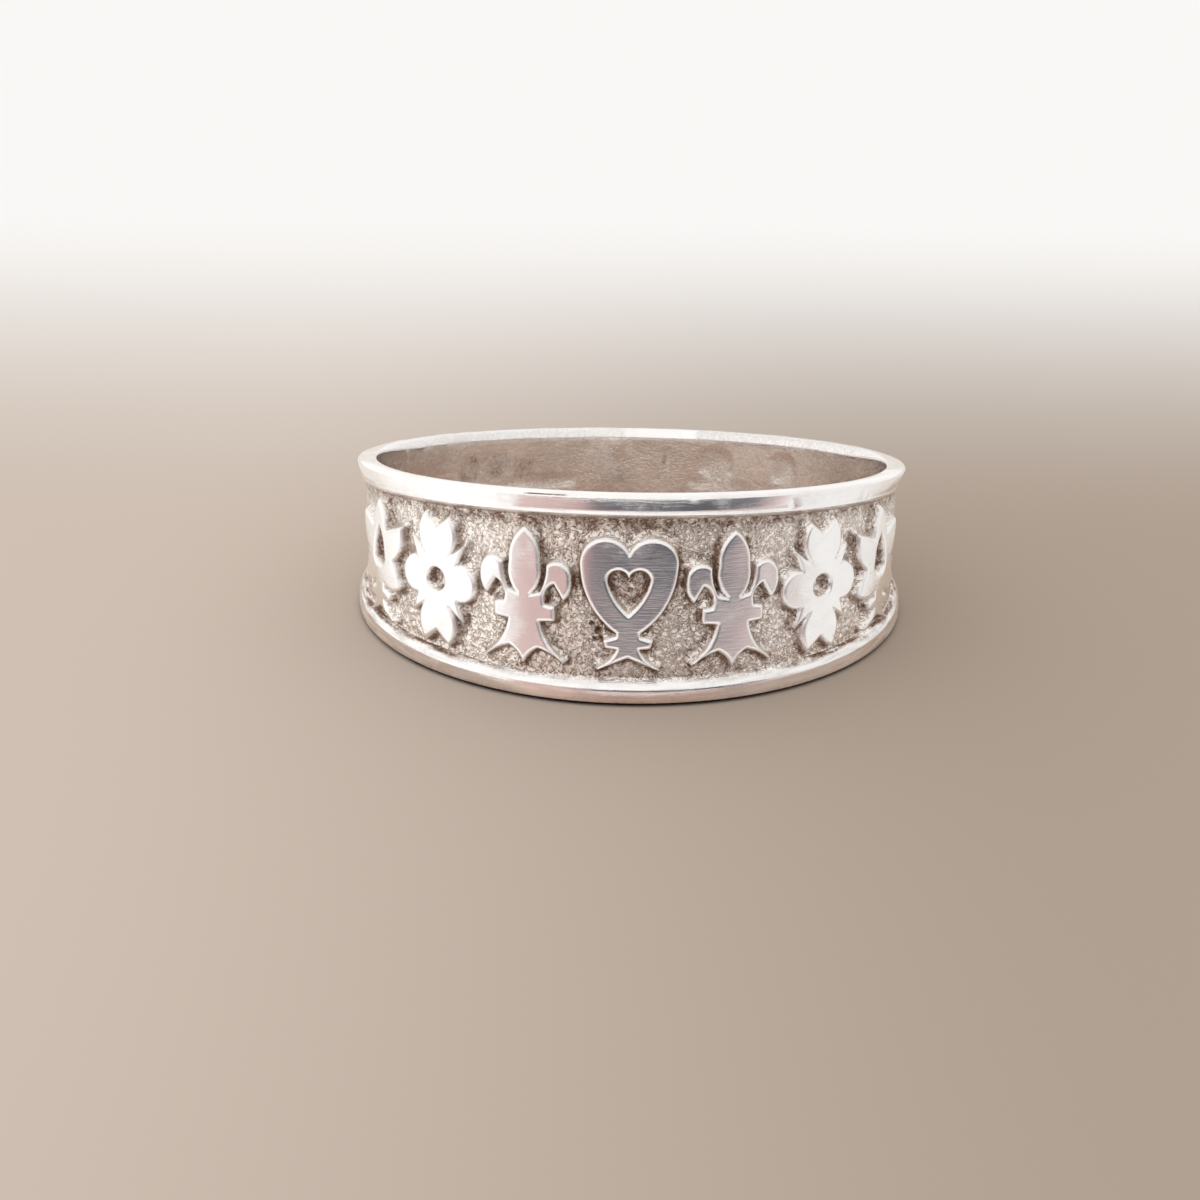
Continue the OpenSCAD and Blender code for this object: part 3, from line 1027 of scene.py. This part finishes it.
def mirrored_table_light_and_shade(bench, place):
    """Colour of the table near the ring, as the silver mirrors it, with painted light and
    shade: paler behind its front.
    """
    x, y, _ = bench.add("ShaderNodeSeparateXYZ", {0: place}).outputs
    colour = colour_stops(bench, bench.times(x, PER_MM), MIRRORED_TABLE_LIGHT_AND_SHADE)
    colour = bench.blend(bench.ramp(y, 0.001, -0.008), colour, rgba(TABLE_BESIDE))
    right = bench.ramp(x, -0.0045, -0.001)
    front = bench.blend(right, rgba(TABLE_FRONT_LEFT), rgba(TABLE_IN_FRONT))
    return bench.blend(bench.ramp(y, -0.0096, -0.0104), colour, front)


def plain_material(name, kind, build_colour, *sizes):
    """One plain shader, whose colour the given function builds from the place."""
    material = bpy.data.materials.new(name)
    material.use_nodes = True
    bench = NodeBench(material.node_tree)
    place = bench.add("ShaderNodeTexCoord").outputs["Object"]
    shader = bench.add(kind, {"Color": build_colour(bench, place, *sizes)})
    bench.add("ShaderNodeOutputMaterial", {"Surface": shader.outputs[0]})
    return material


def staged(name, points, faces, material):
    """A mesh on the stage."""
    mesh = bpy.data.meshes.new(name)
    mesh.from_pydata(points, [], faces)
    mesh.materials.append(material)
    thing = bpy.data.objects.new(name, mesh)
    bpy.context.scene.collection.objects.link(thing)
    return thing


def only_in_reflections(thing):
    """Leaves a staged thing visible to polished surfaces alone."""
    thing.visible_camera = False
    thing.visible_diffuse = False
    thing.visible_shadow = False


def colour_stops(bench, value, table):
    """Colour at a value, between the rows of a table of values and colours."""
    first, last = table[0][0], table[-1][0]
    ramp = bench.add("ShaderNodeValToRGB", {0: bench.ramp(value, first, last)})
    stops = ramp.color_ramp.elements
    while len(stops) < len(table):
        stops.new(0.5)
    for stop, (at, colour) in zip(stops, table):
        stop.position = (at - first) / (last - first)
        stop.color = rgba(colour)
    return ramp.outputs[0]


def reflected_colour(bench, place):
    """Glow of the curved card behind the camera, a painted reflection: its dark part narrows
    and pales downwards, above a pink foot."""
    x, y, z = bench.add("ShaderNodeSeparateXYZ", {0: place}).outputs
    wave = bench.cloud(place, 38.0, 2.0)
    turn = bench.math("ARCTAN2", x, bench.times(y, -1.0))
    narrowing = bench.times(bench.ramp(turn, 0.0, 0.35), z, -13.0)
    turn = bench.plus(turn, bench.math("MAXIMUM", narrowing, 0.0))
    turn = bench.plus(turn, bench.times(bench.minus(wave, 0.5), 0.16))
    colour = colour_stops(bench, bench.times(turn, math.degrees(1)), REFLECTED)
    height = bench.plus(z, bench.times(wave, 0.006))
    paler = bench.times(bench.ramp(height, -0.009, -0.018), bench.ramp(turn, -0.30, -0.10), 0.8)
    colour = bench.blend(paler, colour, rgba(CARD_GREY))
    return bench.blend(bench.ramp(height, -0.0275, -0.0195), rgba(CARD_PINK), colour)


def curved_card(radius, low, high, first, last):
    """Points and faces of an upright strip round the ring, between two angles in degrees."""
    turns = [math.radians(first + (last - first) * i / 24) for i in range(25)]
    points = [
        (radius * math.sin(t), -radius * math.cos(t), z) for t in turns for z in (low, high)]
    faces = [(2 * i, 2 * i + 2, 2 * i + 3, 2 * i + 1) for i in range(24)]
    return points, faces


def disc(middle_y, radius, height):
    """Points and the one face of a flat disc."""
    turns = [2 * math.pi * i / 64 for i in range(64)]
    points = [(radius * math.cos(t), middle_y + radius * math.sin(t), height) for t in turns]
    return points, [tuple(range(64))]


def stage_camera(stage):
    """The camera at the photographed angle to the ring."""
    el, pan, roll = stage.camera_height, stage.camera_pan, stage.camera_roll
    down = el + stage.camera_tilt
    level = math.cos(down)
    ahead = Vector((math.sin(pan) * level, math.cos(pan) * level, -math.sin(down)))
    right = ahead.cross(Vector((0, 0, 1))).normalized()
    up = right.cross(ahead)
    right, up = (
        math.cos(roll) * right + math.sin(roll) * up, math.cos(roll) * up - math.sin(roll) * right)
    data = bpy.data.cameras.new("camera")
    data.lens, data.sensor_width = stage.lens, 36
    data.clip_start, data.clip_end = 1 * MM, 10
    camera = bpy.data.objects.new("camera", data)
    turn = Matrix((right, up, -ahead)).transposed().to_4x4()
    away = stage.camera_distance * Vector((0, -math.cos(el), math.sin(el)))
    place = Vector((0, HOLE_MIDDLE.y, 0)) + away
    camera.matrix_world = Matrix.Translation(place) @ turn
    bpy.context.scene.collection.objects.link(camera)
    bpy.context.scene.camera = camera


def soft_sky(stage):
    """Soft light from all round, a little brighter at the left and cream low behind."""
    world = bpy.data.worlds.new("soft_sky")
    world.use_nodes = True
    bench = NodeBench(world.node_tree)
    ray = bench.add("ShaderNodeTexCoord").outputs["Generated"]
    x, y, z = bench.add("ShaderNodeSeparateXYZ", {0: ray}).outputs
    low = bench.times(bench.ramp(z, 0.01, -0.045), bench.ramp(y, 0.3, 0.7))
    colour = bench.blend(low, (1.0, 0.995, 0.985, 1), (0.80, 0.745, 0.69, 1))
    strength = bench.times(bench.minus(1.0, bench.times(x, 0.12)), stage.sky)
    glow = bench.add("ShaderNodeBackground", {"Color": colour, "Strength": strength})
    bench.add("ShaderNodeOutputWorld", {"Surface": glow.outputs[0]})
    bpy.context.scene.world = world


class OBJECT_OT_keepsake_ring_stage(Operator):
    """Set up the table, the soft light and the camera"""
    bl_idname = "object.keepsake_ring_stage"
    bl_label = "Set the Stage"
    bl_options = {"REGISTER", "UNDO"}

    def execute(self, context):
        stage = context.scene.keepsake_ring_stage
        half = 4.0
        corners = [(-half, -half, 0), (half, -half, 0), (half, half, 0), (-half, half, 0)]
        matt, glow = "ShaderNodeBsdfDiffuse", "ShaderNodeEmission"
        table = staged(
            "table", corners, [(0, 1, 2, 3)],
            plain_material("pale_table", matt, table_colour, stage))
        table.visible_glossy = False
        # A disc seen only in reflections, whose colours paint the light and shade on the table
        # near the ring
        only_in_reflections(staged(
            "mirrored_table", *disc(middle_y=0.0045, radius=0.0157, height=0.01 * MM),
            plain_material("mirrored_table", matt, mirrored_table_light_and_shade)))
        # A glowing card, seen only in reflections, paints what stood behind the camera
        ends = {"first": REFLECTED[0][0], "last": REFLECTED[-1][0]}
        only_in_reflections(staged(
            "card_behind_camera", *curved_card(radius=0.11, low=-0.036, high=0.023, **ends),
            plain_material("card_behind_camera", glow, reflected_colour)))
        soft_sky(stage)
        stage_camera(stage)
        context.scene.view_settings.view_transform = "Standard"
        return {"FINISHED"}


class VIEW3D_PT_keepsake_ring(Panel):
    """Lists the ring's sizes and the steps that make it."""
    bl_label = "Keepsake Ring"
    bl_idname = "VIEW3D_PT_keepsake_ring"
    bl_space_type = "VIEW_3D"
    bl_region_type = "UI"
    bl_category = "Keepsake Ring"

    def draw(self, context):
        layout = self.layout
        for group in GROUPS:
            settings = getattr(context.scene, group)
            column = layout.column(align=True)
            for name in settings.bl_rna.properties.keys():
                if name not in ("rna_type", "name"):
                    column.prop(settings, name)
        layout.operator(OBJECT_OT_keepsake_ring_cast.bl_idname)
        layout.operator(OBJECT_OT_keepsake_ring_stage.bl_idname)


GROUPS = {
    "keepsake_ring_band": KeepsakeRingBand,
    "keepsake_ring_frieze": KeepsakeRingFrieze,
    "keepsake_ring_silver": KeepsakeRingSilver,
    "keepsake_ring_stage": KeepsakeRingStage,
}
CLASSES = (
    *GROUPS.values(),
    OBJECT_OT_keepsake_ring_cast,
    OBJECT_OT_keepsake_ring_stage,
    VIEW3D_PT_keepsake_ring,
)


def register():
    for cls in CLASSES:
        bpy.utils.register_class(cls)
    for name, cls in GROUPS.items():
        setattr(bpy.types.Scene, name, PointerProperty(type=cls))


def unregister():
    for name in GROUPS:
        delattr(bpy.types.Scene, name)
    for cls in reversed(CLASSES):
        bpy.utils.unregister_class(cls)


def main():
    """Makes the ring and its stage."""
    register()
    bpy.ops.object.keepsake_ring_cast()
    bpy.ops.object.keepsake_ring_stage()


if __name__ == "__main__":
    main()
